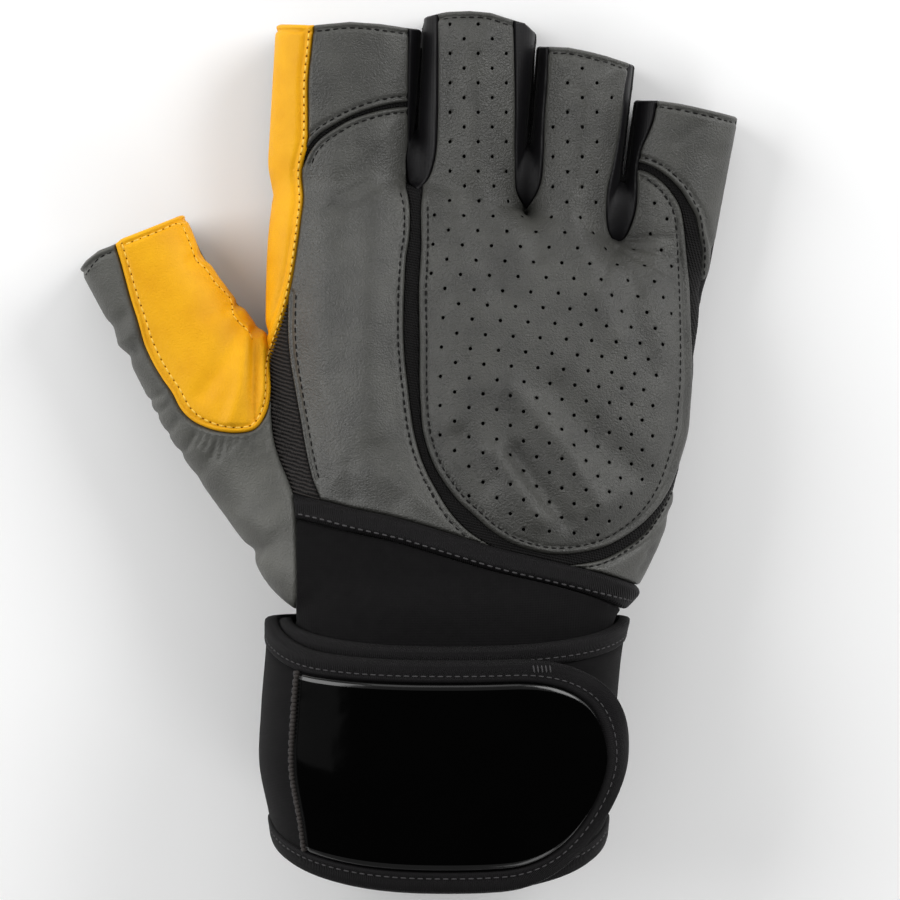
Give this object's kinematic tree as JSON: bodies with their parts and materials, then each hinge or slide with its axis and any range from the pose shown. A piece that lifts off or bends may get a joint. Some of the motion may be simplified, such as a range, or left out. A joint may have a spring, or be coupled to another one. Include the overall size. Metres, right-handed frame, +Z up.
{
  "type": "weightlifting glove",
  "caption": "Half-finger left-hand lifting glove with a padded leather palm, stretch gussets and a wrapped wrist strap with a round end.",
  "frame": {"origin": "under the middle of the whole glove, on the surface that its back lies on", "axes": "+X from the thumb to the little finger, +Y from the wrist to the fingertips, +Z up out of the palm"},
  "size_m": [0.1532, 0.202, 0.0579],
  "materials": {
    "grey_leather": "smooth grey leather with a fine grain",
    "perforated_leather": "grey leather with staggered round holes",
    "yellow_leather": "smooth matte yellow leather",
    "stretch_fabric": "black stretch knit",
    "satin_gusset": "black satin stretch fabric",
    "black_knit": "black open knit",
    "ribbed_elastic": "black elastic with cross ribs",
    "neoprene": "black fabric over neoprene, fine diagonal weave",
    "ribbed_tape": "black ribbed binding tape",
    "gloss_patch": "bare glossy black plastic"
  },
  "bodies": {
    "root": {"hand_back": "stretch_fabric", "fourchette_index_middle": "satin_gusset", "fourchette_middle_ring": "satin_gusset", "fourchette_ring_little": "satin_gusset", "index_finger_panel": "grey_leather", "thenar_panel": "grey_leather", "palm_pad": "perforated_leather", "mesh_strip": "black_knit", "little_finger_panel": "grey_leather", "heel_panel": "grey_leather", "yellow_patch": "yellow_leather", "thumb_shell": "grey_leather", "thumb_webbing": "ribbed_elastic", "cuff": "neoprene", "cuff_binding": "ribbed_tape", "wrist_strap": "neoprene", "strap_binding": "ribbed_tape", "strap_patch": "gloss_patch"}
  },
  "joints": []
}
